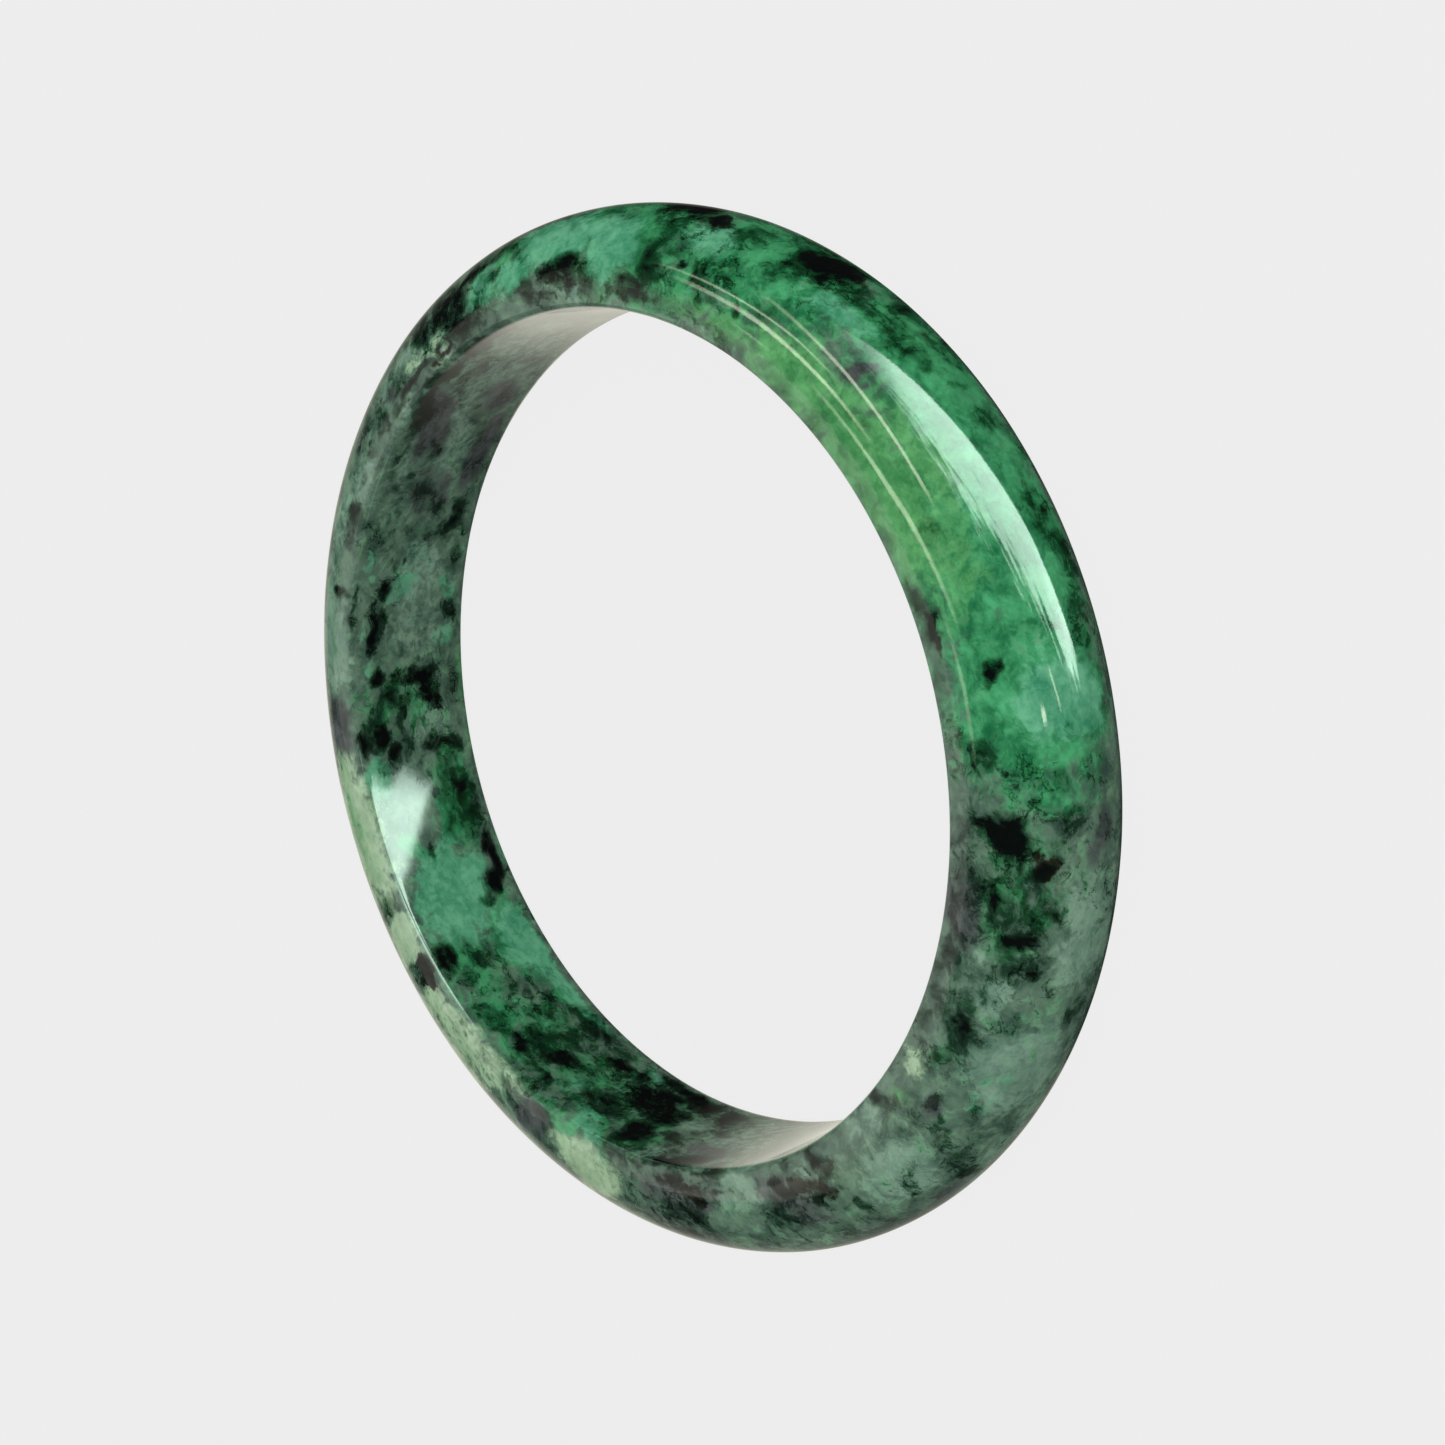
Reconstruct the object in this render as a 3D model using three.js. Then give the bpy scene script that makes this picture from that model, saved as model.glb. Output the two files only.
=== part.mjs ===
// A bangle carved from one piece of stone: a closed ring with a straight bore,
// a small bevel and a narrow flat land on each side, and a domed outer face.
// Millimetres. The ring lies flat: +Z runs along its axis, and the origin is
// under the middle of its outer rim, on the land that it rests on.
import * as THREE from 'three';

const BORE_DIAMETER = 56;
const OUTER_DIAMETER = 69.6;
const RING_WIDTH = 10.8;

// The bevel rounds each end of the bore. It leaves the bore smoothly, turns
// through its sweep, and meets the land at a visible ridge.
const BEVEL_RADIAL = 0.45;
const BEVEL_AXIAL = 0.6;
const BEVEL_SWEEP_DEGREES = 60;
const BEVEL_STEPS = 4;

// The land is the flat between the bevel and the dome. The ring rests on it.
const LAND_WIDTH = 0.85;

// The dome's outline is a superellipse: 2 is a true ellipse, and more is fuller.
const DOME_EXPONENT = 2.12;

// The wall is cut by hand, so the bore's centre lies off the outer rim's
// centre, towards +X, and the wall is thinnest there.
const BORE_OFFSET = 0.45;

const DOME_STEPS = 18;
const RING_STEPS = 96;

const boreRadius = BORE_DIAMETER / 2;
const outerRadius = OUTER_DIAMETER / 2;
const halfWidth = RING_WIDTH / 2;
const landInnerRadius = boreRadius + BEVEL_RADIAL;
const landOuterRadius = landInnerRadius + LAND_WIDTH;

const stone = new THREE.MeshStandardMaterial({
  color: 0x3f7558,
  roughness: 0.12,
  metalness: 0,
});

// One point of the dome's outline, from -90 degrees on the lower land, through
// 0 at the crown, to +90 degrees on the upper land.
function domePoint(angle) {
  const power = 2 / DOME_EXPONENT;
  const out = Math.abs(Math.cos(angle)) ** power;
  const up = Math.sign(angle) * Math.abs(Math.sin(angle)) ** power;
  const radius = landOuterRadius + (outerRadius - landOuterRadius) * out;
  return new THREE.Vector2(radius, halfWidth * up);
}

// One point of the upper bevel's outline, from 0 on the bore to 1 on the land.
function bevelPoint(fraction) {
  const sweep = THREE.MathUtils.degToRad(BEVEL_SWEEP_DEGREES);
  const angle = sweep * fraction;
  const out = (1 - Math.cos(angle)) / (1 - Math.cos(sweep));
  const up = Math.sin(angle) / Math.sin(sweep);
  const radius = boreRadius + BEVEL_RADIAL * out;
  return new THREE.Vector2(radius, halfWidth - BEVEL_AXIAL * (1 - up));
}

// The wall's closed outline, as radius and height above the ring's middle:
// lower bevel, lower land, dome, upper land, upper bevel, and down the bore.
function wallOutline() {
  const points = [];
  for (let step = 0; step <= BEVEL_STEPS; step += 1) {
    const above = bevelPoint(step / BEVEL_STEPS);
    points.push(new THREE.Vector2(above.x, -above.y));
  }
  for (let step = 0; step <= DOME_STEPS; step += 1) {
    const angle = Math.PI * (step / DOME_STEPS - 0.5);
    points.push(domePoint(angle));
  }
  for (let step = BEVEL_STEPS; step >= 0; step -= 1) {
    points.push(bevelPoint(step / BEVEL_STEPS));
  }
  points.push(points[0].clone());
  return points;
}

// Moves the bore, the bevels and the lands towards +X by the bore's offset.
// The dome takes up the difference, and its crown stays where it is.
function offsetBore(geometry) {
  const position = geometry.attributes.position;
  for (let index = 0; index < position.count; index += 1) {
    const radius = Math.hypot(position.getX(index), position.getY(index));
    const depth = (outerRadius - radius) / (outerRadius - landOuterRadius);
    const shift = BORE_OFFSET * Math.min(Math.max(depth, 0), 1);
    position.setX(index, position.getX(index) + shift);
  }
}

function bangleRing() {
  const geometry = new THREE.LatheGeometry(wallOutline(), RING_STEPS);
  geometry.rotateX(Math.PI / 2);
  offsetBore(geometry);
  const ring = new THREE.Mesh(geometry, stone);
  ring.name = 'bangle_ring';
  ring.position.z = halfWidth;
  return ring;
}

const bangle = new THREE.Group();
bangle.add(bangleRing());

export default bangle;
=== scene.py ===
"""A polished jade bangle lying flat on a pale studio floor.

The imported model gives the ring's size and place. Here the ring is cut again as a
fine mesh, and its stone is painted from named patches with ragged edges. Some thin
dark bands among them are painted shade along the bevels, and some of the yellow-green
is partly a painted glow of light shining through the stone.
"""

import math

import bpy
import numpy as np
from mathutils import Matrix, Vector, noise


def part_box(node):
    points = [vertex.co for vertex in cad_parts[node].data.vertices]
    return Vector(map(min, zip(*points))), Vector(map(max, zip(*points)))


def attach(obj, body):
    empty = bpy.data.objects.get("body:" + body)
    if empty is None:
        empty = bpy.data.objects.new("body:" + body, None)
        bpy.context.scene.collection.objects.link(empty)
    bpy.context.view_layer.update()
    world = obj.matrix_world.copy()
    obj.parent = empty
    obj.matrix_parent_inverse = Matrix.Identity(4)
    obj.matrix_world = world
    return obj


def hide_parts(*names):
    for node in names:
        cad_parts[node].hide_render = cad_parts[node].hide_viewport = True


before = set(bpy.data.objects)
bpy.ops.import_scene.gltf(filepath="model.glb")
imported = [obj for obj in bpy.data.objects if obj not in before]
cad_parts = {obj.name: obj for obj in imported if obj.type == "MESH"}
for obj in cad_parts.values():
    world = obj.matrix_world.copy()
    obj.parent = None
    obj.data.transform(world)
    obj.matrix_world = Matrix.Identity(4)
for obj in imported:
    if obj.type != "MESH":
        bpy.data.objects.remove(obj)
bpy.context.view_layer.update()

MM = 0.001

# ---------------------------------------------------------------- ring sizes, mm
BORE_RADIUS = 28.0
OUTER_RADIUS = 34.8
HALF_WIDTH = 5.4
BEVEL_RADIAL = 0.45
BEVEL_AXIAL = 0.6
BEVEL_SWEEP = math.radians(60)
LAND_INNER = BORE_RADIUS + BEVEL_RADIAL
LAND_WIDTH = 0.85
LAND_OUTER = LAND_INNER + LAND_WIDTH
DOME_EXPONENT = 2.12
BORE_OFFSET = 0.45          # the bore's centre lies this far towards +X

AROUND_STEPS = 720
BORE_STEPS = 17
BEVEL_STEPS = 6
LAND_STEPS = 2
DOME_STEPS = 38
BORE_CROWN = 0.14           # about how much the bore's radius grows towards its ends
BORE_CROWN_HEIGHT = 0.6     # its narrowest point lies a little above the middle
POLISH_DEPTH = 0.03         # how far hand polishing wanders below the true shape
POLISH_SPAN = 7.0
RIDGE_ANGLE = math.radians(18)
MID_RADIUS = 31.0           # about the middle of the wall, where angles are turned into mm

low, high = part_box("bangle_ring")
MIDDLE = Vector(((low.x + high.x) / 2, (low.y + high.y) / 2, (low.z + high.z) / 2))


# ---------------------------------------------------------------- the ring's mesh
def upper_outline():
    """(radius, height) from the middle of the bore over the upper side to the crown."""
    top_of_bore = HALF_WIDTH - BEVEL_AXIAL
    points = [(BORE_RADIUS, top_of_bore * i / BORE_STEPS) for i in range(BORE_STEPS)]
    for i in range(BEVEL_STEPS + 1):
        angle = BEVEL_SWEEP * i / BEVEL_STEPS
        out = (1 - math.cos(angle)) / (1 - math.cos(BEVEL_SWEEP))
        up = math.sin(angle) / math.sin(BEVEL_SWEEP)
        points.append((BORE_RADIUS + BEVEL_RADIAL * out, top_of_bore + BEVEL_AXIAL * up))
    for i in range(1, LAND_STEPS):
        points.append((LAND_INNER + (LAND_OUTER - LAND_INNER) * i / LAND_STEPS, HALF_WIDTH))
    power = 2 / DOME_EXPONENT
    for i in range(DOME_STEPS):
        angle = math.pi / 2 * (1 - i / DOME_STEPS)
        radius = LAND_OUTER + (OUTER_RADIUS - LAND_OUTER) * math.cos(angle) ** power
        points.append((radius, HALF_WIDTH * math.sin(angle) ** power))
    return points


def wall_outline():
    """The closed outline as arrays: radius, height, and the distance along it."""
    upper = upper_outline()
    lower = [(r, -z) for r, z in reversed(upper[1:])]
    outline = np.array(upper + [(OUTER_RADIUS, 0.0)] + lower)
    in_bore = np.clip((LAND_INNER - outline[:, 0]) / BEVEL_RADIAL, 0, 1)
    bow = ((outline[:, 1] - BORE_CROWN_HEIGHT) / (HALF_WIDTH - BEVEL_AXIAL)) ** 2
    outline[:, 0] += BORE_CROWN * bow * in_bore
    closed = np.vstack([outline, outline[:1]])
    steps = np.hypot(*np.diff(closed, axis=0).T)
    across = np.concatenate([[0.0], np.cumsum(steps)])
    return outline[:, 0], outline[:, 1], across[:-1], across[-1]


def smooth_noise(points, span, seed):
    """Perlin noise, about -1 to 1, one value for each point; span is its scale."""
    shift = Vector((17.3 * seed, -9.1 * seed, 4.7 * seed))
    return np.array([noise.noise(Vector(p) / span + shift) for p in points])


radius, height, across, AROUND_WALL = wall_outline()
angles = np.radians(np.arange(AROUND_STEPS) * 360 / AROUND_STEPS)
lean = BORE_OFFSET * np.clip((OUTER_RADIUS - radius) / (OUTER_RADIUS - LAND_OUTER), 0, 1)
POINTS = np.stack([
    radius[None, :] * np.cos(angles)[:, None] + lean[None, :],
    radius[None, :] * np.sin(angles)[:, None],
    np.broadcast_to(height[None, :], (AROUND_STEPS, len(height))),
], axis=-1).reshape(-1, 3)
DEGREES = np.repeat(np.degrees(angles), len(radius))
ACROSS = np.tile(across, AROUND_STEPS)
RADIUS = np.tile(radius, AROUND_STEPS)


def make_ring():
    count = len(radius)
    faces = []
    for i in range(AROUND_STEPS):
        j = (i + 1) % AROUND_STEPS
        for k in range(count):
            m = (k + 1) % count
            faces.append((i * count + k, i * count + m, j * count + m, j * count + k))
    mesh = bpy.data.meshes.new("jade_ring")
    mesh.from_pydata([tuple(p) for p in POINTS * MM], [], faces)
    mesh.update()
    normals = np.zeros(len(POINTS) * 3)
    mesh.vertex_normals.foreach_get("vector", normals)
    normals = normals.reshape(-1, 3)
    crown = int(np.argmax(radius))
    if normals[crown] @ POINTS[crown] < 0:
        mesh.flip_normals()
        normals = -normals
    depth = POLISH_DEPTH * (0.5 + 0.5 * smooth_noise(POINTS, POLISH_SPAN, 1))
    placed = (POINTS - normals * depth[:, None]) * MM + np.array(MIDDLE)
    mesh.vertices.foreach_set("co", placed.ravel())
    mesh.shade_smooth()
    mesh.set_sharp_from_angle(angle=RIDGE_ANGLE)
    mesh.update()
    piece = bpy.data.objects.new("jade_ring", mesh)
    bpy.context.scene.collection.objects.link(piece)
    return piece


ring = make_ring()
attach(ring, "root")
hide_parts("bangle_ring")

# ---------------------------------------------------------------- the stone's patches, with some painted shade and glow
# Each patch is (degrees round the ring, mm across the wall, half length in degrees,
# half width in mm, tilt in degrees, strength). Across the wall, 0 is the middle of
# the bore, 5 the upper bevel, 6 the upper land, 15 the crown and 24 the lower land;
# below zero is the lower half of the bore.
PATCHES = {
    "grey_mint": [
        (24, 5.5, 4, 0.35, 0, 0.8), (13, 6.6, 4, 1.3, 0, 0.9), (20, 8.6, 2.5, 0.7, 20, 0.9),
        (26, 8.3, 2, 0.9, 30, 0.9), (37.5, 6.2, 4, 0.9, 0, 1.0), (50, 8.2, 9, 0.9, 0, 0.7),
        (60, 7, 5, 1.6, 0, 0.9), (54, -0.5, 5, 2.4, 0, 0.7), (65, 7.2, 6, 1.8, 0, 0.9),
        (78, -0.8, 3.2, 2.0, -40, 0.9), (140, 8.8, 4, 1, 0, 0.6), (162.8, -0.3, 2.8, 1, -10, 1.0),
        (166, 4, 2.6, 1.4, -60, 0.9), (183, 6.9, 4.5, 1.3, 0, 1.0), (195, 6.9, 1.5, 0.7, 0, 0.7),
        (208, 9.8, 5.2, 2.3, 0, 1.0), (215, 15, 10, 1.4, 0, 0.7), (243, 16, 6, 1.2, 0, 0.9),
        (266, 7.5, 4, 0.6, 0, 0.8), (172, 0, 9, 4, 0, 0.5), (7, 0, 9, 4, 0, 0.5),
        (45, 7.5, 8, 1.2, 0, 0.5), (186, 11.5, 8, 1.6, 0, 0.4), (325, 5.6, 12, 0.35, 0, 0.9),
        (343, 6.4, 4, 0.6, 0, 0.8), (226.5, 12.2, 5.6, 3.0, 0, 1.1), (234.5, 9, 2, 0.95, 0, 1.2),
        (238, 8.1, 1, 0.25, 0, 1.0), (239.5, 14.2, 2.5, 1.9, 0, 1.1), (245, 14, 4, 1.3, 0, 1.0),
        (210, 6.4, 4, 1.0, 0, 0.7), (63, -1, 5, 2.6, 0, 0.5), (30, 1, 12, 3.6, -10, 0.55),
        (17, -1, 8, 4, 0, 0.5),
    ],
    "sage": [
        (12.5, 6.3, 2.2, 1.3, 0, 0.6), (17.5, 7.1, 4, 0.5, 10, 0.45), (92, 7.2, 11, 2.3, 0, 1.1),
        (108.5, 7, 3.6, 2.1, 0, 1.1), (119.5, 7.2, 3, 2, 0, 0.8), (127, 6.8, 8, 1.6, 0, 0.9),
        (129, 5.8, 12, 0.8, 0, 0.8), (125, 9, 9, 1.1, 0, 0.8), (153.5, 7.8, 6, 2.4, 0, 1.0),
        (221.2, 6.6, 1.7, 0.8, 10, 0.8),
    ],
    "emerald": [
        (93.5, -1.3, 4, 0.9, 10, 0.9), (98, 1.8, 1.8, 2.2, 30, 1.0), (116, 2.2, 6, 2.2, 0, 0.7),
        (126.5, 3, 3.8, 1.4, 35, 1.1), (121, 2, 3, 1.4, 0, 0.8), (115, -3, 7, 2.7, 0, 1.0),
        (129, -3.4, 7, 1.4, -15, 0.7), (152, 4.2, 5, 1.0, 20, 0.8), (131, -1.6, 5, 0.9, -15, 0.6),
        (86, 3.6, 3, 1.3, -20, 0.5), (232, 11.5, 1.8, 1.8, 0, 0.35), (244, 10.8, 2.6, 1.1, 0, 0.6),
        (256, 11, 3, 3.6, 0, 0.7), (266, 11.5, 10, 5, 0, 1.1), (280, 12, 14, 5.5, 0, 1.1),
        (298, 14, 14, 3.6, 0, 1.1), (318, 12, 14, 4.6, 0, 1.0), (337, 11.5, 12, 4.6, 0, 0.9),
        (355, 9.5, 7, 2.6, 0, 0.7), (262, 8, 6, 2.4, 0, 0.7), (305, 19, 45, 3.6, 0, 1.0),
        (226, 8, 4, 1.6, 0, 0.25), (328, 7, 12, 1.6, 0, 0.8), (138, 1, 18, 4.2, -10, 0.6),
        (132, 3.8, 14, 1.0, -8, 0.7), (146, 5.4, 8, 0.7, 0, 0.8), (156, 2, 8, 4, 0, 0.5),
        (91, -2.6, 8, 2.2, 0, 0.8), (75, 1, 6, 4, 0, 0.45), (246, 9.6, 7, 2.4, 0, 0.5),
    ],
    # Yellow-green stone; the patches from about 275 to 320 degrees, beside the softbox's crescent,
    # are partly a painted glow of its light shining through the stone.
    "yellow_green_and_glow": [
        (291, 7.6, 13, 2.2, 0, 1.1), (306, 7.4, 8, 2.0, 0, 1.0), (318, 6.5, 8, 1.0, 0, 0.7),
        (280, 9, 6, 1.8, 0, 0.6), (217, 6.9, 1.6, 0.5, 0, 0.45), (339, 7, 3, 1.2, 0, 0.6),
        (94, 7.5, 9, 1.6, 0, 0.3), (290, 10.4, 10, 1.0, 0, 0.7),
    ],
    "mint": [
        (1, 8.5, 3, 1.5, 0, 0.8), (105, 0.7, 7.2, 3.1, 15, 1.15), (116, -3.4, 6, 2.0, 0, 1.0),
        (122, -4.4, 5, 1.2, 0, 0.9), (131, -4, 4, 0.7, -10, 0.7), (148.5, -3.6, 2.5, 0.9, 0, 0.8),
        (144, 2, 1.4, 1.1, 40, 0.9), (152, 4.5, 4.4, 0.7, 25, 1.0), (85.5, 3.8, 3.2, 1.2, -20, 0.9),
        (65, -3.4, 3, 1, 0, 0.4), (66, 4.2, 4, 0.7, 0, 0.4), (51, 3.8, 4, 0.7, 0, 0.4),
        (57, -4, 3, 1.1, 0, 0.45), (264.7, 13.2, 4.4, 2.3, 0, 1.15),
        (308, 11.6, 4.5, 1.0, -10, 0.8), (326, 11.3, 3.4, 1.3, 0, 1.0),
        (338.5, 9.8, 4, 1.9, 0, 1.1), (347.5, 10.4, 7, 2.0, 10, 1.1),
        (354.5, 8.4, 3.6, 1.3, 0, 0.9), (339, 7.4, 2.6, 1.2, 0, 0.7), (54, 0.5, 4, 1.6, 0, 0.5),
        (223, 11, 4, 1.2, 20, 0.35),
    ],
    "violet": [
        (33, -3.5, 6, 1.4, 0, 1.0), (26, 2.6, 7, 1.5, -20, 1.1), (21, -2.4, 4, 1.6, -30, 0.8),
        (24, 7.5, 3, 0.5, 10, 0.7), (34, 8.2, 2.5, 0.7, 0, 0.7), (77, 7.2, 4.2, 1.6, 0, 1.15),
        (142, 7.2, 4, 1.5, -10, 0.9), (172, 2.5, 4, 1.0, 20, 0.8), (171, 7, 8, 1.1, 0, 0.9),
        (168, 10, 8, 2.0, 0, 0.6), (191, 8, 5, 1.6, 30, 0.8), (300.2, 10.3, 0.8, 0.8, 20, 1.25),
        (242, 6.7, 4.4, 1.2, 0, 0.9), (252, 14.8, 3, 0.9, 30, 0.8), (218, 9, 2.4, 0.8, 0, 0.8),
        (101, -4.2, 4, 0.7, 8, 0.8), (205, 14, 9, 0.8, -10, 0.6), (40, 0, 5, 1.4, -40, 0.7),
    ],
    "brown": [
        (114.7, 6.1, 2.8, 0.9, 0, 1.0), (115.8, 7.2, 1.3, 0.8, 0, 0.8),
        (274.5, 6.4, 4.2, 0.4, 0, 0.6), (313, 14.6, 3.8, 1.6, -20, 0.8), (172, 6.6, 5, 0.6, 0, 0.8),
        (195, 7.6, 4, 0.8, 20, 0.7), (16, 5.9, 8, 0.25, 2, 0.8), (327, 13.3, 2.6, 0.9, 20, 0.8),
        (249, 11, 1.4, 1.0, 0, 0.8),
    ],
    # Dark green stone; the long thin bands near the bevel and land, about 4 to 6.5 mm across the
    # wall, are painted shade on the bevel.
    "dark_green_and_bevel_shade": [
        (275, 6.4, 5, 0.6, 0, 0.9), (115, 6.6, 2.6, 1.4, 0, 0.6), (281, 8.9, 4, 0.5, 0, 0.5),
        (296, 15, 9, 1.2, 0, 0.6), (275, 16, 7, 1.4, 0, 0.7), (308, 15, 6, 2.2, 30, 0.7),
        (22, 1, 2.5, 0.4, -40, 0.8), (28, -2, 3, 0.5, -40, 0.8), (31, 1.5, 2.5, 0.4, -35, 0.9),
        (36, -1, 3, 0.45, -40, 0.8), (39, 2.8, 2.5, 0.4, -30, 0.8), (44, -3.2, 2.5, 0.45, -40, 0.8),
        (25, 3.6, 2.2, 0.35, -20, 0.7), (53, 1.8, 2.4, 0.5, -30, 0.8), (34, 3.9, 3, 0.35, -15, 0.8),
        (17, 2.6, 3, 0.4, -35, 0.7), (283, 9.4, 2.4, 0.7, 10, 0.7), (296, 8.6, 3, 0.6, -10, 0.6),
        (305, 8.2, 2.4, 0.7, 20, 0.6), (314, 9, 3, 0.8, 20, 0.6), (345, 10.6, 3, 0.6, 30, 0.5),
        (340, 11.8, 3, 0.7, 0, 0.6), (327, 12.6, 6, 1.4, 10, 0.8), (343, 7.4, 5, 0.8, 20, 0.8),
        (330, 8, 3, 1.6, 0, 0.7), (10, 2, 5, 0.7, -45, 0.5), (42, -0.5, 4, 1.1, -40, 0.9),
        (47.6, -3, 1.6, 2.0, 0, 0.9), (51, -4.2, 2.6, 0.7, 0, 0.8), (47, 2.9, 3, 0.9, -20, 0.9),
        (60, 3, 3, 0.9, -10, 0.9), (61, -4.2, 1.6, 1.0, 0, 0.8), (43.5, 6.6, 2.2, 0.6, 10, 0.8),
        (73.6, 1.4, 2.2, 1.6, 0, 0.9), (86, -2, 3, 2.4, 0, 0.9), (93.5, -3.6, 4, 1.2, 0, 0.9),
        (116, 1.4, 5, 0.8, -20, 0.9), (119, 3.2, 4, 1.0, 0, 0.8), (121, 0.4, 3, 0.8, -20, 0.9),
        (130, -2.6, 9, 0.6, -20, 1.0), (128, 0.4, 5, 0.9, 10, 0.9), (148, 1, 4, 1.4, 30, 0.9),
        (151, 2.4, 4, 0.9, 30, 0.8), (160, 3.6, 5, 1.5, 20, 0.9), (137, 6.2, 2.2, 0.7, -30, 0.8),
        (146, 6, 2, 0.7, 0, 0.7), (163, 5.6, 3, 0.4, 0, 0.9), (103.5, 7.3, 1.1, 1.9, 0, 0.75),
        (206, 10.8, 1.5, 1.3, 40, 0.7), (213, 13, 4, 0.9, -30, 0.7), (216, 10.5, 1.6, 1.4, 30, 0.9),
        (230.5, 8, 4, 1.3, 0, 1.0), (235.5, 12.4, 2.2, 0.8, -10, 0.9),
        (234, 14.5, 2, 1.1, -40, 0.8), (253, 12.6, 2.4, 1.1, 0, 0.8),
        (259.5, 7.4, 2, 1.2, -30, 1.0), (262, 6.3, 2.6, 0.7, 0, 0.9), (271.5, 15.8, 3, 0.9, 0, 0.9),
        (282, 15.4, 3, 0.8, 0, 0.9), (292, 15.1, 2.6, 1.1, 0, 0.9), (283.5, 8.5, 1.2, 0.4, 0, 0.8),
        (303, 13.6, 3, 1.2, 50, 0.9), (306, 15.5, 3, 0.9, 40, 0.8), (321, 7.6, 3, 0.35, 0, 0.8),
        (323, 9.2, 3, 0.7, 30, 0.8), (322, 13, 3, 0.8, 50, 0.7), (331.6, 9.2, 1.8, 1.9, 10, 1.0),
        (350, 6.2, 6, 0.35, 0, 1.0), (352.5, 7, 3, 0.45, 0, 0.7), (358.5, 9, 2, 0.7, -20, 0.9),
        (2.5, 6.7, 3, 0.6, 0, 0.9), (255, 9, 2, 2, 0, 0.6), (187, 9, 4, 0.9, 20, 0.7),
        (193, 10.4, 4, 1.0, 20, 0.7), (35, 1.5, 3, 0.8, -30, 0.7), (143, -3.6, 6, 0.8, -10, 0.8),
        (224, 6.5, 1.4, 1.2, 0, 0.7), (135, 4.2, 4, 0.6, 0, 0.8), (246, 9.4, 9, 3.4, 0, 0.9),
        (169, 8.5, 9, 3.2, 0, 0.65), (194, 8.6, 8, 3.0, 0, 0.5), (300, 14.6, 4, 1.6, 40, 0.7),
        (316, 11.5, 5, 1.0, 40, 0.6), (235, 6.6, 8, 1.2, 0, 0.6), (142, 0, 20, 5, -10, 0.86),
        (158, 0, 10, 6, 0, 0.76), (78, 0, 10, 5, 0, 0.45), (34, 7.2, 14, 1.6, 0, 0.4),
        (90, -3.6, 7, 1.6, 0, 0.7), (325, 10, 10, 4, 30, 0.35), (8, 7.8, 8, 2.6, 0, 0.7),
    ],
    # Black spots in the stone; the long thin bands near the bevel and land, about 4 to 6.5 mm
    # across the wall, are painted shade on the bevel.
    "black_and_bevel_shade": [
        (8, 8.6, 5, 2.1, 0, 0.95), (14.6, 8.7, 3, 1.5, 0, 0.95), (7, 6.6, 4, 0.8, 0, 1.0),
        (3.5, 10.8, 4, 0.9, -20, 1.0), (17, 4.3, 14, 0.6, 0, 1.0), (6, 4.3, 6, 0.6, 0, 1.0),
        (15, 6.2, 11, 0.4, 2, 1.0), (28.5, 6.6, 2, 0.5, 10, 0.9), (56.5, 5.9, 1, 0.8, 0, 0.9),
        (57.5, 4.9, 3, 0.25, 0, 1.0), (55.6, 2.2, 1.5, 0.5, 0, 1.0), (52, 0.9, 0.8, 0.25, 0, 1.0),
        (23, -0.8, 0.9, 0.4, 0, 0.9), (36.5, 1.9, 0.9, 0.4, 0, 0.9), (62.5, 3.2, 3.4, 0.45, 0, 1.0),
        (70.6, -0.4, 1.3, 2.7, 0, 1.1), (74.6, -2, 3.2, 0.8, -45, 1.1),
        (70.2, 3.2, 1.2, 0.8, 0, 1.1), (78.5, 3.6, 2.7, 1.1, 30, 1.2),
        (81.6, 2.2, 1.2, 0.9, 0, 1.0), (76, 1, 3, 0.45, 10, 0.9), (79.5, 4.9, 3, 0.35, 0, 1.1),
        (82.4, -2.6, 1.2, 2.7, 0, 1.1), (88.3, -3.6, 2, 0.8, 0, 1.1), (88.6, -1, 1, 0.5, 0, 0.9),
        (101, -4.4, 4.5, 0.7, 8, 1.2), (105.6, -3.2, 2.6, 0.7, 30, 1.2),
        (108, -1.6, 1, 0.9, 30, 1.0), (97, 0.8, 1.4, 0.35, 0, 1.1), (114.6, 3.9, 2.7, 1.0, 10, 1.2),
        (120.5, 5.3, 1.2, 0.4, 0, 0.9), (124.5, -0.8, 2, 0.6, 0, 1.0),
        (138.6, 1.1, 4.2, 1.1, -20, 1.3), (132.5, 3, 2.3, 0.8, 0, 1.1),
        (139, 3.2, 3.5, 0.5, 0, 1.0), (143.8, -2.6, 3.2, 0.6, -10, 1.1),
        (148.5, -0.8, 2.5, 0.6, 0, 1.0), (156, -4, 7, 1.1, 15, 1.2), (155, -1, 6.2, 1.9, 20, 1.3),
        (158.5, 2.5, 3.2, 1.5, 20, 1.2), (164, 2, 3, 1.0, 40, 0.9), (165, -3, 3, 1.0, 50, 0.9),
        (170.5, 4.5, 4.4, 0.7, -5, 1.2), (176, 5.1, 5, 0.25, 0, 0.9), (198.5, 6.6, 2, 0.9, 30, 1.0),
        (200.5, 9, 1.3, 2.2, 0, 0.9), (191, 7.3, 2.6, 0.7, 30, 0.9), (195.5, 8.6, 1, 0.4, 0, 1.0),
        (214, 6.5, 1.6, 0.8, 40, 0.9), (218.4, 8.9, 2.4, 0.6, 0, 1.0),
        (240.8, 10, 1.4, 1.4, 0, 1.2), (237.6, 11, 1.2, 0.6, 0, 1.0),
        (244.2, 8.7, 3.6, 0.5, -10, 1.2), (243.8, 12, 1, 0.4, 0, 1.0),
        (251.6, 9.1, 3.3, 1.1, -20, 1.4), (252.8, 7.6, 0.6, 0.7, 0, 1.1),
        (248.7, 11, 1.2, 0.9, 0, 1.1), (258.5, 8.9, 0.5, 0.5, 0, 1.1),
        (267.8, 9.1, 1.2, 0.5, 0, 1.2), (313.6, 14.3, 4.2, 1.9, -20, 1.25),
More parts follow.
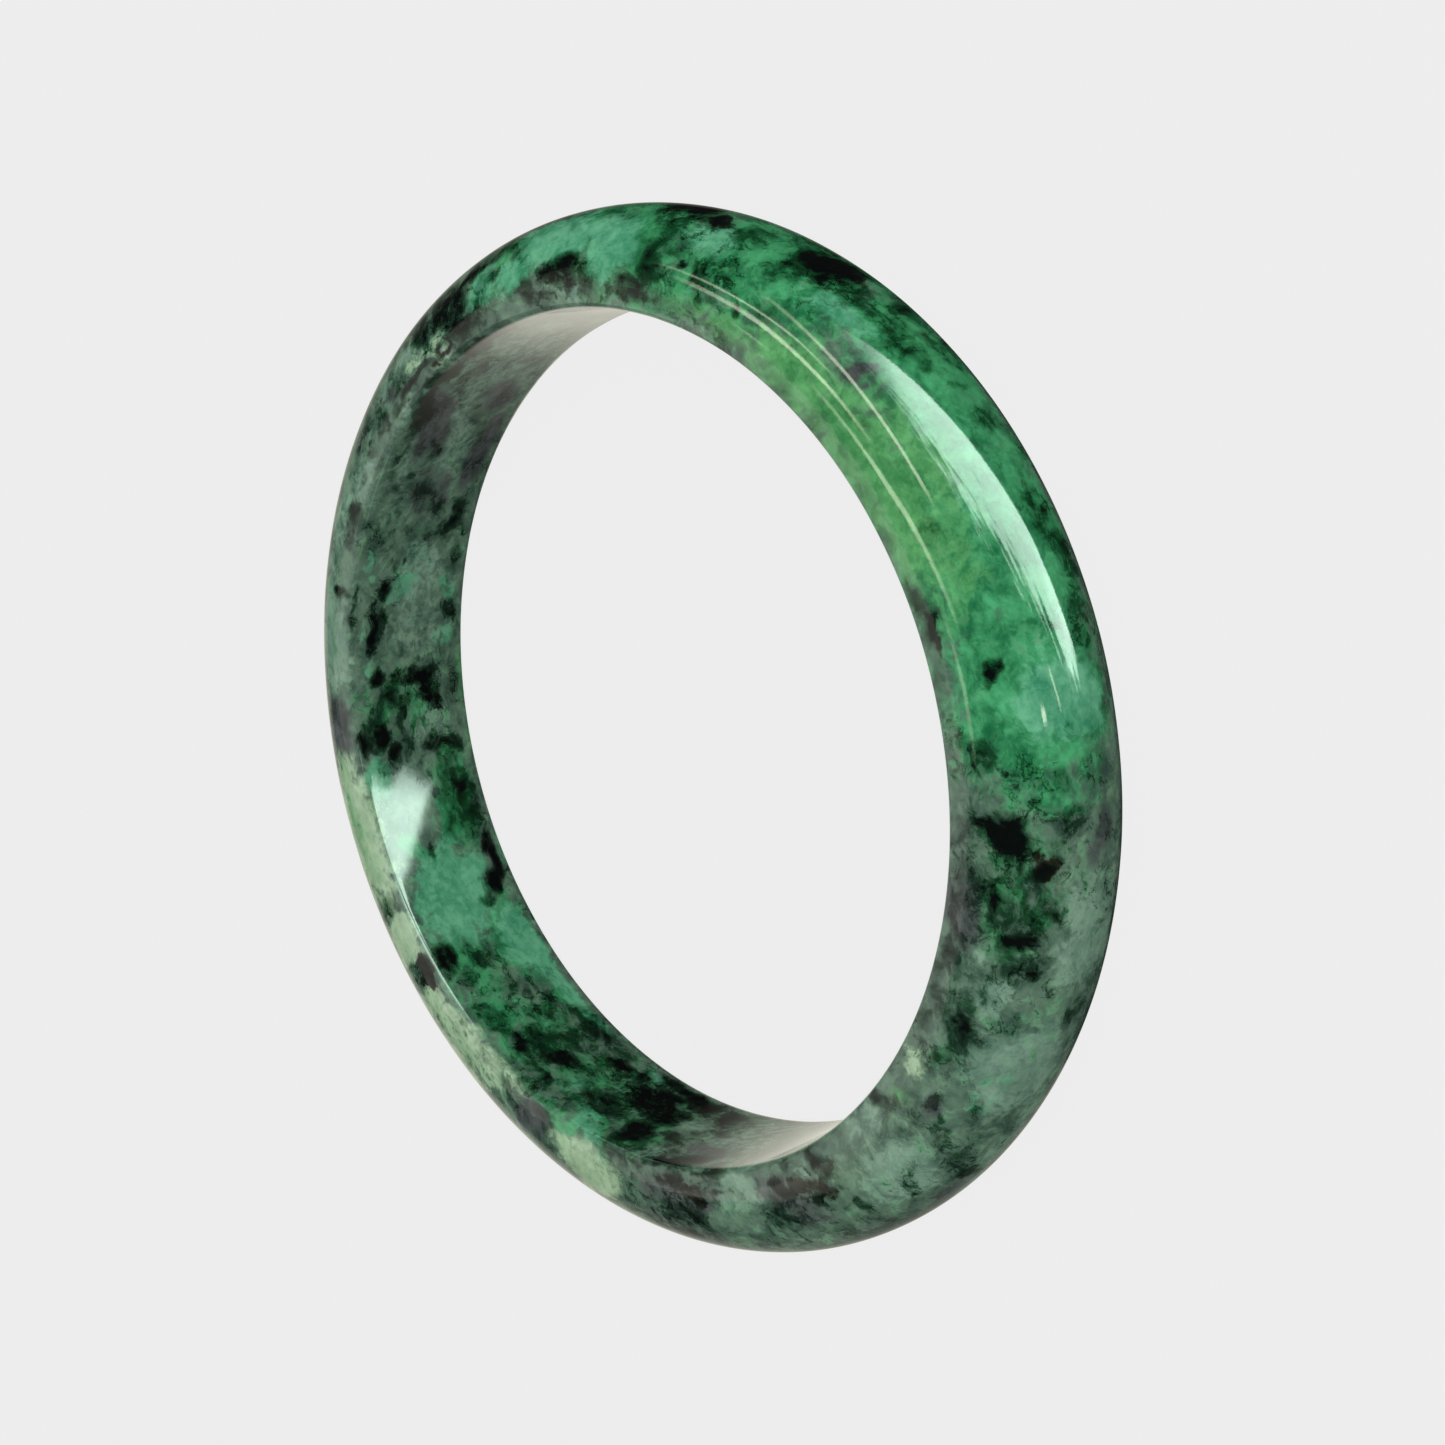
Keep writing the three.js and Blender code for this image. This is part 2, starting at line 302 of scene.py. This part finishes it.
        (315, 12.4, 2.2, 0.8, 0, 1.0), (317, 7.9, 0.5, 0.45, 0, 1.1),
        (326.8, 8.6, 0.7, 0.25, 0, 1.1), (327, 13.2, 2.4, 0.7, 20, 1.0),
        (333, 13.9, 4.2, 1.8, 25, 1.35), (334.5, 6.8, 3, 0.9, 0, 1.1),
        (346, 7.6, 3.4, 1.0, -5, 1.2), (359, 11, 3, 0.9, -20, 1.1), (243, 6.2, 2, 0.5, 0, 0.7),
    ],
    "calm": [
        (92, 7.2, 11, 2.5, 0, 1), (105, 0.7, 7.5, 3.2, 15, 1), (116, -3.4, 6, 2.3, 0, 1),
        (153.5, 7.8, 6, 2.4, 0, 0.8), (226.5, 12.2, 5.4, 2.9, 0, 0.8), (264.7, 13.2, 5, 2.6, 0, 1),
        (288, 9, 18, 4.5, 0, 1), (310, 7.6, 10, 2.4, 0, 0.8), (343, 10, 10, 2.2, 0, 0.8),
        (65, 7, 6, 2, 0, 0.8), (108.5, 7, 4, 2.2, 0, 1), (295, 15, 14, 3, 0, 0.4),
        (77, 7.2, 4, 1.6, 0, 1), (33, 0, 14, 4.5, 0, 0.6), (63, 0, 5, 3, 0, 0.5),
    ],
}

EDGE_SPAN = (3.0, 1.3, 0.6)     # mm scale of the wander in a patch's edge
EDGE_REACH = (0.8, 0.5, 0.25)   # how far the edge wanders, in mm
PATCH_SOFTNESS = 0.6

# The sides away from the listed patches carry the same kinds of patch: the listed
# ones turned round the ring, or turned and mirrored across the wall.
UNDERSIDE_TURN = 137
INSIDE_TURN = 180
FAR_SIDE_TURN = -165
NEAR_SIDE = 270             # the side towards the camera, in degrees round the ring
BORE_END = (4.3, 4.9)       # mm across the wall over which the bore's patches give way
INSIDE_END = (70, 78)       # the same for the near inside, in degrees from the near side
UNDERSIDE_START = (16.5, 18)
FAR_SIDE_START = (10.2, 12)
FAR_SIDE_END = (70, 80)     # in degrees from the far side
BORE_PATCH_LIMIT = 4.5      # a patch nearer the middle of the bore belongs to the bore
FAR_COPY_MM = 8             # only patches beyond these two are copied to the far side
FAR_COPY_DEGREES = 190


def rise(values, start, end):
    """0 below start, 1 above end, and a straight climb between them."""
    return np.clip((values - start) / (end - start), 0, 1)


NEAR_TURN = np.abs((DEGREES - NEAR_SIDE + 180) % 360 - 180)
FAR_TURN = 180 - NEAR_TURN
BORE_PART = 1 - rise(np.minimum(ACROSS, AROUND_WALL - ACROSS), *BORE_END)
ON_INSIDE = BORE_PART * (1 - rise(NEAR_TURN, *INSIDE_END))
ON_UNDERSIDE = rise(ACROSS, *UNDERSIDE_START) * (1 - BORE_PART)
ON_FAR_SIDE = (rise(ACROSS, *FAR_SIDE_START) * (1 - rise(FAR_TURN, *FAR_SIDE_END))
               * (1 - ON_UNDERSIDE) * (1 - BORE_PART))
LISTED = 1 - np.maximum(np.maximum(ON_INSIDE, ON_UNDERSIDE), ON_FAR_SIDE)


def wander(seed):
    """How far the patches' edges are pushed at each point, in mm."""
    return sum(reach * smooth_noise(POINTS, span, seed + step)
               for step, (span, reach) in enumerate(zip(EDGE_SPAN, EDGE_REACH)))


WANDER_ROUND = wander(3)
WANDER_ACROSS = wander(7)


def patch_fade(patch):
    """How strong one patch is at each point, fading out across its ragged edge."""
    degrees, mm, half_degrees, half_mm, tilt, strength = patch
    turn = (DEGREES - degrees + 180) % 360 - 180
    u = np.radians(turn) * RADIUS + WANDER_ROUND
    v = (ACROSS - mm + AROUND_WALL / 2) % AROUND_WALL - AROUND_WALL / 2 + WANDER_ACROSS
    half_length = math.radians(half_degrees) * MID_RADIUS
    c = math.cos(math.radians(tilt))
    s = math.sin(math.radians(tilt))
    reach = np.hypot((u * c + v * s) / half_length, (v * c - u * s) / half_mm)
    fade = np.clip((1 + PATCH_SOFTNESS - reach) / (2 * PATCH_SOFTNESS), 0, 1)
    return strength * fade * fade * (3 - 2 * fade)


def patch_mask(patches):
    """The strongest patch at each point, the listed ones and their turned copies."""
    mask = np.zeros(len(POINTS))
    for degrees, mm, *shape in patches:
        mask = np.maximum(mask, LISTED * patch_fade((degrees, mm, *shape)))
        if mm < BORE_PATCH_LIMIT:
            copy = ON_INSIDE * patch_fade((degrees + INSIDE_TURN, -mm, *shape))
        else:
            copy = ON_UNDERSIDE * patch_fade((degrees + UNDERSIDE_TURN, AROUND_WALL - mm, *shape))
        mask = np.maximum(mask, copy)
        if mm > FAR_COPY_MM and degrees > FAR_COPY_DEGREES:
            copy = ON_FAR_SIDE * patch_fade((degrees + FAR_SIDE_TURN, mm, *shape))
            mask = np.maximum(mask, copy)
    return mask


def store(name, values, kind="FLOAT"):
    attribute = ring.data.attributes.new(name, kind, "POINT")
    field = "vector" if kind == "FLOAT_VECTOR" else "value"
    attribute.data.foreach_set(field, np.asarray(values, np.float32).ravel())


for patch_name, patches in PATCHES.items():
    store(patch_name, patch_mask(patches))

# Wear: the lands rub on tables and on other bangles, so they lose their high polish.
WEAR_REACH = 0.7            # mm from a land to where the wear ends
from_land = np.hypot(radius - np.clip(radius, LAND_INNER, LAND_OUTER),
                     HALF_WIDTH - np.abs(height))
store("wear", np.tile(np.clip(1 - from_land / WEAR_REACH, 0, 1), AROUND_STEPS))

# Grain coordinates: mm, but shortened round the ring, so that the stone's texture
# runs a little longer along the ring than across it.
GRAIN_RADIUS = 27.0
grain_radius = GRAIN_RADIUS + RADIUS - MID_RADIUS
grain = np.stack([
    grain_radius * np.cos(np.radians(DEGREES)),
    grain_radius * np.sin(np.radians(DEGREES)),
    POINTS[:, 2],
], axis=-1)
store("grain", grain, "FLOAT_VECTOR")


# ---------------------------------------------------------------- node helpers
def srgb(r, g, b):
    """An 8-bit display colour as linear RGBA."""
    def linear(c):
        c = c / 255
        return c / 12.92 if c <= 0.04045 else ((c + 0.055) / 1.055) ** 2.4
    return (linear(r), linear(g), linear(b), 1.0)


class Nodes:
    """A short way to write a node tree."""

    def __init__(self, tree):
        self.tree = tree
        self.tree.nodes.clear()

    def add(self, kind, **settings):
        node = self.tree.nodes.new(kind)
        for key, value in settings.items():
            setattr(node, key, value)
        return node

    def put(self, socket, value):
        if isinstance(value, bpy.types.NodeSocket):
            self.tree.links.new(value, socket)
        else:
            socket.default_value = value

    def math(self, operation, a, b=0.0, clamp=False):
        node = self.add("ShaderNodeMath", operation=operation, use_clamp=clamp)
        self.put(node.inputs[0], a)
        self.put(node.inputs[1], b)
        return node.outputs[0]

    def attribute(self, name, output="Fac"):
        return self.add("ShaderNodeAttribute", attribute_name=name).outputs[output]

    def noise(self, vector, scale, detail=5.0, roughness=0.6, offset=0.0):
        if offset:
            shift = self.add("ShaderNodeVectorMath", operation="ADD")
            self.put(shift.inputs[0], vector)
            shift.inputs[1].default_value = (offset, offset * 0.7, -offset)
            vector = shift.outputs[0]
        node = self.add("ShaderNodeTexNoise")
        self.put(node.inputs["Vector"], vector)
        node.inputs["Scale"].default_value = scale
        node.inputs["Detail"].default_value = detail
        node.inputs["Roughness"].default_value = roughness
        return node.outputs["Fac"]

    def warp(self, vector, scale, reach):
        """The vector pushed about by noise, so that textures built on it wander."""
        node = self.add("ShaderNodeTexNoise")
        self.put(node.inputs["Vector"], vector)
        node.inputs["Scale"].default_value = scale
        node.inputs["Detail"].default_value = 4.0
        push = self.add("ShaderNodeVectorMath", operation="MULTIPLY_ADD")
        self.put(push.inputs[0], node.outputs["Color"])
        push.inputs[1].default_value = (reach, reach, reach)
        self.put(push.inputs[2], vector)
        return push.outputs[0]

    def ramp(self, value, start, end, low=0.0, high=1.0):
        node = self.add("ShaderNodeMapRange", interpolation_type="SMOOTHSTEP")
        self.put(node.inputs["Value"], value)
        limits = {"From Min": start, "From Max": end, "To Min": low, "To Max": high}
        for key, limit in limits.items():
            self.put(node.inputs[key], limit)
        return node.outputs["Result"]

    def mix(self, factor, a, b, blend="MIX"):
        node = self.add("ShaderNodeMix", data_type="RGBA", blend_type=blend)
        self.put(node.inputs[0], factor)
        self.put(node.inputs[6], a)
        self.put(node.inputs[7], b)
        return node.outputs[2]


# ---------------------------------------------------------------- the jade
COLOURS = {
    "base": (srgb(104, 134, 112), srgb(54, 80, 68)),
    "grey_mint": (srgb(130, 162, 140), srgb(90, 122, 104)),
    "sage": (srgb(170, 198, 162), srgb(132, 164, 130)),
    "emerald": (srgb(74, 164, 110), srgb(22, 100, 60)),
    # The yellow-green is partly a painted glow of light shining through the stone.
    "yellow_green_and_glow": (srgb(98, 168, 106), srgb(54, 124, 70)),
    "mint": (srgb(104, 176, 137), srgb(54, 134, 98)),
    "violet": (srgb(90, 98, 96), srgb(48, 56, 54)),
    "brown": (srgb(46, 50, 38), srgb(27, 30, 24)),
}
# How each kind's edge is broken up: the coarse texture's share, the fine texture's
# share, and half the width of its fade.
EDGES = {
    "grey_mint": (1.7, 1.5, 0.35),
    "sage": (1.6, 1.4, 0.32),
    "emerald": (1.8, 1.4, 0.40),
    "yellow_green_and_glow": (1.6, 1.2, 0.45),
    "mint": (1.5, 1.3, 0.30),
    "violet": (1.6, 1.4, 0.30),
    "brown": (1.3, 1.2, 0.18),
}
BLACK = srgb(4, 9, 8)
DARK_SHARE = (0.17, 0.29, 0.22, 1.0)    # what a dark translucent part keeps of its colour
IOR_JADE = 1.66
POLISH_LEVEL = 1.0          # how strongly the wax polish mirrors the lights
ROUGHNESS = 0.07
WORN_ROUGHNESS = 0.45
GLOW_DEPTH = 0.5            # mm that light travels inside the stone
GRIT_DEPTH = 0.04           # mm, the finest unevenness of the polish

# Darkness in the stone, and the painted shade on the bevels. A listed patch counts by its share,
# and two textures stir it.
DARK_GREEN_AND_BEVEL_SHADE_SHARE = 0.62
BLACK_AND_BEVEL_SHADE_SHARE = 0.86
MOTTLE_STIR = -2.4
FINE_STIR = 1.5
CALM_LEFT = 0.3             # how much of the stir is left in a calm area
VEIN_DARKNESS = 0.42
VEIN_WIDTH = 0.035          # in units of the clot texture
DEEP_RANGE = (0.12, 0.72)   # darkness over which a colour sinks to its dark share
BLACK_RANGE = (0.60, 1.12)  # darkness over which it goes on to black
GRIT_DARKNESS = 0.08


def jade_material():
    material = bpy.data.materials.new("jade")
    material.use_nodes = True
    n = Nodes(material.node_tree)
    straight = n.attribute("grain", "Vector")
    grain = n.warp(straight, 0.6, 1.6)

    mottle = n.noise(grain, 0.47, detail=7, roughness=0.64)
    clot = n.noise(grain, 0.54, detail=8, roughness=0.66, offset=11)
    fine = n.noise(grain, 1.6, detail=5, roughness=0.56, offset=5)
    cloud = n.noise(straight, 0.25, detail=4, roughness=0.55, offset=31)
    grit = n.noise(straight, 4.5, detail=3, roughness=0.6, offset=23)

    def swing(texture, amount):
        return n.math("MULTIPLY", n.math("SUBTRACT", texture, 0.5), amount)

    depth = n.math("ADD", n.ramp(mottle, 0.37, 0.63, 0.0, 0.6),
                   n.ramp(fine, 0.36, 0.64, 0.0, 0.4))

    def shade(name):
        light, deep = COLOURS[name]
        return n.mix(depth, deep, light)

    colour = shade("base")
    for name, (coarse_share, fine_share, half) in EDGES.items():
        field = n.math("ADD", n.attribute(name), swing(clot, coarse_share))
        field = n.math("ADD", field, swing(fine, fine_share))
        colour = n.mix(n.ramp(field, 0.5 - half, 0.5 + half), colour, shade(name))

    # Darkness gathers in the listed patches, the painted bevel shade among them, and, more thinly,
    # all over the stone.
    lively = n.ramp(n.attribute("calm"), 0.1, 0.9, 1.0, CALM_LEFT)
    dark = n.math("MAXIMUM", n.math("MULTIPLY", n.attribute("dark_green_and_bevel_shade"), DARK_GREEN_AND_BEVEL_SHADE_SHARE),
                  n.math("MULTIPLY", n.attribute("black_and_bevel_shade"), BLACK_AND_BEVEL_SHADE_SHARE))
    stir = n.math("ADD", swing(mottle, MOTTLE_STIR), swing(fine, FINE_STIR))
    dark = n.math("ADD", dark, n.math("MULTIPLY", stir, lively))
    ridge = n.math("ABSOLUTE", swing(clot, 1.0))
    vein = n.ramp(ridge, 0.0, VEIN_WIDTH, VEIN_DARKNESS, 0.0)
    vein = n.math("MULTIPLY", vein, n.ramp(cloud, 0.40, 0.58, 1.0, 0.2))
    dark = n.math("ADD", dark, n.math("MULTIPLY", vein, lively))
    halo = n.mix(1.0, colour, DARK_SHARE, blend="MULTIPLY")
    colour = n.mix(n.ramp(dark, *DEEP_RANGE), colour, halo)
    colour = n.mix(n.ramp(dark, *BLACK_RANGE), colour, BLACK)
    colour = n.mix(n.ramp(grit, 0.38, 0.62, GRIT_DARKNESS, 0.0), colour, (0, 0, 0, 1))

    shader = n.add("ShaderNodeBsdfPrincipled")
    n.put(shader.inputs["Base Color"], colour)
    worn = n.math("ADD", n.attribute("wear"), swing(fine, 0.8))
    n.put(shader.inputs["Roughness"], n.ramp(worn, 0.15, 0.85, ROUGHNESS, WORN_ROUGHNESS))
    shader.inputs["Specular IOR Level"].default_value = POLISH_LEVEL
    shader.inputs["IOR"].default_value = IOR_JADE
    shader.inputs["Subsurface Weight"].default_value = 0.2
    shader.inputs["Subsurface Radius"].default_value = (0.5, 1.0, 0.7)
    shader.inputs["Subsurface Scale"].default_value = GLOW_DEPTH * MM
    bump = n.add("ShaderNodeBump")
    bump.inputs["Strength"].default_value = 0.04
    bump.inputs["Distance"].default_value = GRIT_DEPTH * MM
    n.put(bump.inputs["Height"], grit)
    n.put(shader.inputs["Normal"], bump.outputs["Normal"])
    output = n.add("ShaderNodeOutputMaterial")
    n.put(output.inputs["Surface"], shader.outputs["BSDF"])
    return material


ring.data.materials.append(jade_material())

# ---------------------------------------------------------------- the stage
PALE = 0.8469               # linear value of the pale floor and backdrop
FLOOR_SIZE = 3.0
FLOOR_BOUNCE = 0.015        # the small share of the floor's tone that shadows can dim
FLOOR_GAP = 0.02            # mm between the floor and the ring, so that they never overlap


def staged(name, corners, faces):
    mesh = bpy.data.meshes.new(name)
    mesh.from_pydata(corners, [], faces)
    mesh.update()
    thing = bpy.data.objects.new(name, mesh)
    bpy.context.scene.collection.objects.link(thing)
    return thing


def make_floor():
    s = FLOOR_SIZE / 2
    z = -FLOOR_GAP * MM
    floor = staged("floor", [(-s, -s, z), (s, -s, z), (s, s, z), (-s, s, z)], [(0, 1, 2, 3)])
    material = bpy.data.materials.new("studio_floor")
    material.use_nodes = True
    n = Nodes(material.node_tree)
    glow = n.add("ShaderNodeEmission")
    glow.inputs["Color"].default_value = (1, 1, 1, 1)
    glow.inputs["Strength"].default_value = PALE - FLOOR_BOUNCE
    matt = n.add("ShaderNodeBsdfDiffuse")
    matt.inputs["Color"].default_value = (FLOOR_BOUNCE, FLOOR_BOUNCE, FLOOR_BOUNCE, 1)
    both = n.add("ShaderNodeAddShader")
    n.put(both.inputs[0], glow.outputs[0])
    n.put(both.inputs[1], matt.outputs[0])
    output = n.add("ShaderNodeOutputMaterial")
    n.put(output.inputs["Surface"], both.outputs[0])
    floor.data.materials.append(material)
    floor.visible_glossy = False
    floor.visible_diffuse = False


make_floor()


def make_world(above, below, mirrored):
    """Soft light from all round, dimmer from below; almost dark where it is mirrored."""
    world = bpy.data.worlds.new("studio")
    bpy.context.scene.world = world
    world.use_nodes = True
    n = Nodes(world.node_tree)
    path = n.add("ShaderNodeLightPath")
    direction = n.add("ShaderNodeTexCoord").outputs["Generated"]
    split = n.add("ShaderNodeSeparateXYZ")
    n.put(split.inputs[0], direction)
    level = n.ramp(split.outputs["Z"], -0.7, 0.7, below, above)
    fill = n.add("ShaderNodeCombineColor")
    for channel in fill.inputs:
        n.put(channel, level)
    tone = n.mix(path.outputs["Is Glossy Ray"], fill.outputs[0], (mirrored, mirrored, mirrored, 1))
    tone = n.mix(path.outputs["Is Camera Ray"], tone, (PALE, PALE, PALE, 1))
    background = n.add("ShaderNodeBackground")
    n.put(background.inputs["Color"], tone)
    output = n.add("ShaderNodeOutputWorld")
    n.put(output.inputs["Surface"], background.outputs[0])


make_world(above=0.86, below=0.56, mirrored=0.012)

CENTRE = np.array(MIDDLE) / MM

# The camera's place, from the ring's centre. The strip lights are placed by it too.
CAMERA_PLACE = Vector((0.000246, -0.10590, 0.09445))   # metres


FRAY = 2.2                  # how deeply a woven sheet's glow is torn into streaks
FRAY_EDGE = (0.10, 0.30)    # its level over which a streak's edge goes from dark to full
FRAY_LEVELS = (0.72, 1.1)   # how bright the streaks are at its far and near edges


def glow_strip(name, near_edge, far_edge, strength, near=1.0, far=1.0, tint=(1, 1, 1),
               weave=None):
    """A glowing sheet between two edges, given in mm from the ring's centre.

    It shows only as a reflection in the stone. near and far are its levels along the
    two edges. For a glow that frays, weave gives three numbers for each corner: its
    place along and across the streaks, and its brightness.
    """
    count = len(near_edge)
    edges = list(near_edge) + list(far_edge)
    corners = [tuple((np.array(p) + CENTRE) * MM) for p in edges]
    faces = [(i, i + 1, count + i + 1, count + i) for i in range(count - 1)]
    sheet = staged(name, corners, faces)
    levels = list(np.broadcast_to(near, count)) + list(np.broadcast_to(far, count))
    level = sheet.data.attributes.new("level", "FLOAT", "POINT")
    level.data.foreach_set("value", [float(v) for v in levels])
    material = bpy.data.materials.new(name)
    material.use_nodes = True
    n = Nodes(material.node_tree)
    glow = n.add("ShaderNodeEmission")
    glow.inputs["Color"].default_value = (*tint, 1)
    power = n.attribute("level")
    if weave:
        thread = sheet.data.attributes.new("weave", "FLOAT_VECTOR", "POINT")
        thread.data.foreach_set("vector", np.array(weave, np.float32).ravel())
        place = n.add("ShaderNodeSeparateXYZ")
        n.put(place.inputs[0], n.attribute("weave", "Vector"))
        flat = n.add("ShaderNodeCombineXYZ")
        n.put(flat.inputs["X"], place.outputs["X"])
        n.put(flat.inputs["Y"], place.outputs["Y"])
        frayed = n.noise(flat.outputs[0], 1.0, detail=4, roughness=0.65)
        swing = n.math("MULTIPLY", n.math("SUBTRACT", frayed, 0.5), FRAY)
        whole = n.ramp(n.math("ADD", power, swing), *FRAY_EDGE)
        power = n.math("MULTIPLY", whole, n.ramp(power, 0.0, 1.2, *FRAY_LEVELS))
        power = n.math("MULTIPLY", power, place.outputs["Z"])
    n.put(glow.inputs["Strength"], n.math("MULTIPLY", power, strength))
    output = n.add("ShaderNodeOutputMaterial")
    n.put(output.inputs["Surface"], glow.outputs[0])
    sheet.data.materials.append(material)
    sheet.visible_camera = False
    sheet.visible_diffuse = False
    sheet.visible_shadow = False
    sheet.visible_transmission = False


# The long softbox stands in front of the ring. Its lower edge is straight and crisp.
SOFTBOX_CORNER = np.array((136.6, -366.8, -223.1))
SOFTBOX_ALONG = np.array((0.8376, 0.0, 0.5462))
SOFTBOX_UP = np.array((-0.5462, 0.0, 0.8376))
SOFTBOX_TINT = (0.74, 1.0, 0.86)
SOFTBOX_STRENGTH = 4.8
SOFTBOX_STREAK = (110.0, 20.0)      # length and width of a streak, mm
SOFTBOX_STATIONS = [
    # along the edge, how far the edge lifts, the width there, its fullness, its brightness
    (-196, 20, 150, 0.0, 1.1), (-164, 22, 155, 0.4, 1.1), (-136, 22, 165, 1.2, 1.2),
    (-60, 12, 190, 1.1, 1.1), (-16, 0, 215, 1.0, 1.0), (91, 0, 285, 1.0, 1.0),
    (204, 0, 360, 1.0, 1.0), (333, 0, 390, 1.0, 1.0), (450, 0, 390, 0.9, 0.9),
    (560, 0, 370, 0.8, 0.45), (700, 0, 330, 0.6, 0.25), (900, 0, 240, 0.4, 0.15),
    (1050, 0, 170, 0.0, 0.1),
]


def softbox_point(distance, up):
    return tuple(SOFTBOX_CORNER + SOFTBOX_ALONG * distance + SOFTBOX_UP * up)


along, lift, wide, fullness, brightness = zip(*SOFTBOX_STATIONS)
near_corners = list(zip(along, lift, brightness))
far_corners = list(zip(along, wide, brightness))
streak_length, streak_width = SOFTBOX_STREAK
glow_strip("softbox", [softbox_point(a, up) for a, up, _ in near_corners],
           [softbox_point(a, up) for a, up, _ in far_corners], SOFTBOX_STRENGTH,
           near=fullness, far=0.0, tint=SOFTBOX_TINT,
           weave=[(a / streak_length, up / streak_width, bright)
                  for a, up, bright in near_corners + far_corners])


STRIP_TINT = (0.92, 1.0, 0.74)
STRIP_END = 0.2             # a strip light's level at its two ends
STRIP_DISTANCE = 700        # mm from the ring's centre
TANGENT_STEP = 0.1          # mm either side, to find the slope of the dome


def mirrored(degrees, mm):
    """The direction that the camera sees mirrored at this place on the ring."""
    turn = math.radians(degrees)
    before, here, after = (
        np.array([np.interp(place, across, radius), np.interp(place, across, height)])
        for place in (mm - TANGENT_STEP, mm, mm + TANGENT_STEP))
    outward, up = after - before
    normal = Vector((-up * math.cos(turn), -up * math.sin(turn), outward)).normalized()
    place = Vector((here[0] * math.cos(turn) + float(np.interp(mm, across, lean)),
                    here[0] * math.sin(turn), here[1]))
    sight = (place - CAMERA_PLACE / MM).normalized()
    return sight - 2 * sight.dot(normal) * normal


def arc_strip(name, places, width, strength, distance=STRIP_DISTANCE):
    """A narrow strip light, placed so that it is mirrored along these places."""
    points = [mirrored(degrees, mm) * distance for degrees, mm in places]
    low_edge = []
    high_edge = []
    for i, point in enumerate(points):
        along = points[min(i + 1, len(points) - 1)] - points[max(i - 1, 0)]
        side = point.cross(along).normalized() * (width / 2)
        low_edge.append(tuple(point - side))
        high_edge.append(tuple(point + side))
    inner = len(points) - 2
    fade = [STRIP_END] + [1.0] * inner + [STRIP_END] if inner > 0 else 1.0
    glow_strip(name, low_edge, high_edge, strength, near=fade, far=fade, tint=STRIP_TINT)


# Narrow strip lights overhead draw the fine lines along the dome. Each is given by the
# places where its line shows: degrees round the ring and mm across the wall.
STRIPS = [      # places, width in mm, strength
    ([(274, 8.3), (284, 8.05), (292, 7.75), (303, 7.75)], 44, 2.6),
    ([(294, 8.4), (302, 8.45), (313, 8.45), (326, 8.45)], 46, 3.2),
    ([(285.5, 9.65), (288, 9.6), (300, 9.7), (314, 9.95)], 42, 3.2),
    ([(302, 9.1), (308, 9.1), (318, 8.95), (329, 8.95)], 24, 2.6),
    ([(260, 7.55), (267, 7.65), (275, 7.65)], 50, 1.4),
    ([(311, 7.45), (317, 7.45), (329, 7.55)], 30, 2.2),
    ([(307.5, 8.55), (312.5, 8.55), (317.5, 8.6)], 20, 2.2),
]
for number, (places, width, strength) in enumerate(STRIPS, 1):
    arc_strip(f"strip_{number}", places, width, strength)

# Two small lights nearer the ring make the glints beside the crescent.
GLINT_DISTANCE = 380        # mm
arc_strip("glint_1", [(263.5, 11.75), (263.5, 11.55)], 16, 4.5, GLINT_DISTANCE)
arc_strip("glint_2", [(264, 12.6), (267.5, 12.4)], 12, 3.0, GLINT_DISTANCE)

# White cards behind the ring give the pale sheen at grazing angles in the bore and on
# the far side. Each goes part of the way round, between two elevations.
CARD_DISTANCE = 420.0
CARD_TINT = (1.0, 0.97, 0.84)
CARD_STATIONS = [           # azimuth in degrees, level
    (40, 0.0), (56, 0.18), (68, 0.5), (80, 0.8), (100, 1.0), (112, 0.75), (124, 0.4),
    (136, 0.22), (165, 0.0),
]


def card(name, low_elevation, high_elevation, low_share, high_share):
    edges = []
    for elevation in (low_elevation, high_elevation):
        climb = math.tan(math.radians(elevation))
        edges.append([(CARD_DISTANCE * math.cos(math.radians(a)),
                       CARD_DISTANCE * math.sin(math.radians(a)),
                       CARD_DISTANCE * climb) for a, _ in CARD_STATIONS])
    glow_strip(name, edges[0], edges[1], strength=1.0, tint=CARD_TINT,
               near=[low_share * level for _, level in CARD_STATIONS],
               far=[high_share * level for _, level in CARD_STATIONS])


card("card", -54, -26, 1.0, 1.0)
card("card_top", -26, 4, 1.0, 0.25)
card("card_above", 34, 52, 0.8, 0.4)


def area_light(name, place, size, power):
    """A soft light aimed at the ring. It lights the stone but isn't mirrored in it."""
    data = bpy.data.lights.new(name, "AREA")
    data.shape = "DISK"
    data.size = size
    data.energy = power
    lamp = bpy.data.objects.new(name, data)
    bpy.context.scene.collection.objects.link(lamp)
    lamp.location = Vector(place) + MIDDLE
    lamp.rotation_euler = (-Vector(place)).to_track_quat("-Z", "Y").to_euler()
    lamp.visible_glossy = False


area_light("key", (0.25, -0.55, 0.45), 0.5, 2.5)
area_light("top", (0.1, -0.1, 0.8), 0.6, 0.9)

# ---------------------------------------------------------------- the camera
CAMERA_ELEVATION = math.radians(43.28)
CAMERA_ROLL = math.radians(-104.9)
SENSOR_WIDTH = 36.0         # mm
LENS = 53.19                # mm
CLIP_START = 0.005          # metres

camera_data = bpy.data.cameras.new("camera")
camera_data.sensor_width = SENSOR_WIDTH
camera_data.lens = LENS
camera_data.clip_start = CLIP_START
camera = bpy.data.objects.new("camera", camera_data)
bpy.context.scene.collection.objects.link(camera)
tilt = Matrix.Rotation(math.pi / 2 - CAMERA_ELEVATION, 4, "X")
camera.matrix_world = (Matrix.Translation(CAMERA_PLACE + MIDDLE) @ tilt
                       @ Matrix.Rotation(CAMERA_ROLL, 4, "Z"))
bpy.context.scene.camera = camera
bpy.context.scene.view_settings.view_transform = "Standard"
